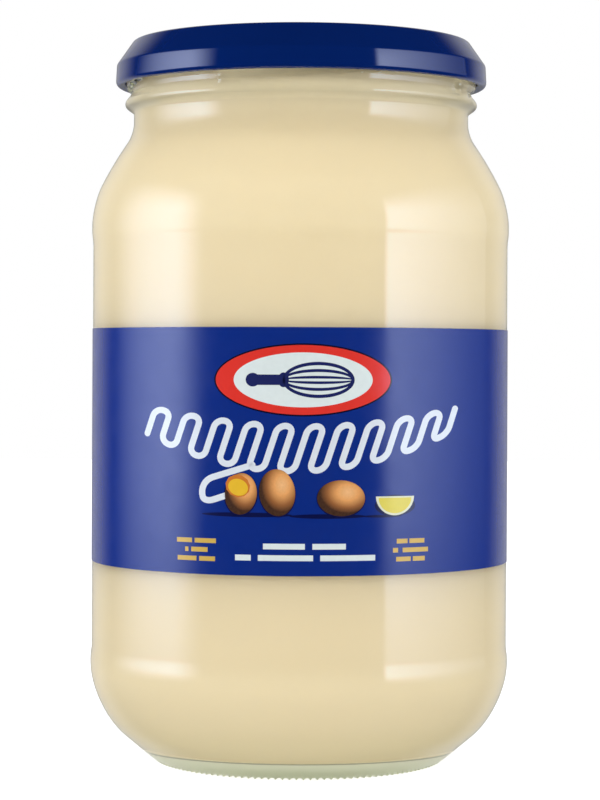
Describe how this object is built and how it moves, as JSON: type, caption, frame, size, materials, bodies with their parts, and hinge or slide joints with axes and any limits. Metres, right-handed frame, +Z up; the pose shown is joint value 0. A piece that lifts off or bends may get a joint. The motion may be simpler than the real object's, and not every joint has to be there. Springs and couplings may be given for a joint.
{
  "type": "filled mayonnaise jar",
  "caption": "Clear glass jar with a rounded shoulder and heel, filled with mayonnaise, closed with a blue metal lug cap and wrapped in a blue paper label.",
  "frame": {"origin": "centre of the bearing ring, on the surface that the jar stands on", "axes": "+Z up along the jar's axis; the label's printed front faces -Y, its lap is at +Y, and +X is to the right of the front"},
  "size_m": [0.0822, 0.0822, 0.1411],
  "materials": {
    "jar_glass": "clear, smooth, with a faint green cast where it is thick",
    "mayonnaise": "opaque pale cream, satin where it lies against the glass",
    "label_paper": "coated paper, printed blue, satin varnish",
    "cap_lacquer": "gloss blue lacquer on tinplate, white inside"
  },
  "bodies": {
    "root": {"jar": "jar_glass", "mayonnaise": "mayonnaise", "label": "label_paper", "cap": "cap_lacquer"}
  },
  "joints": []
}
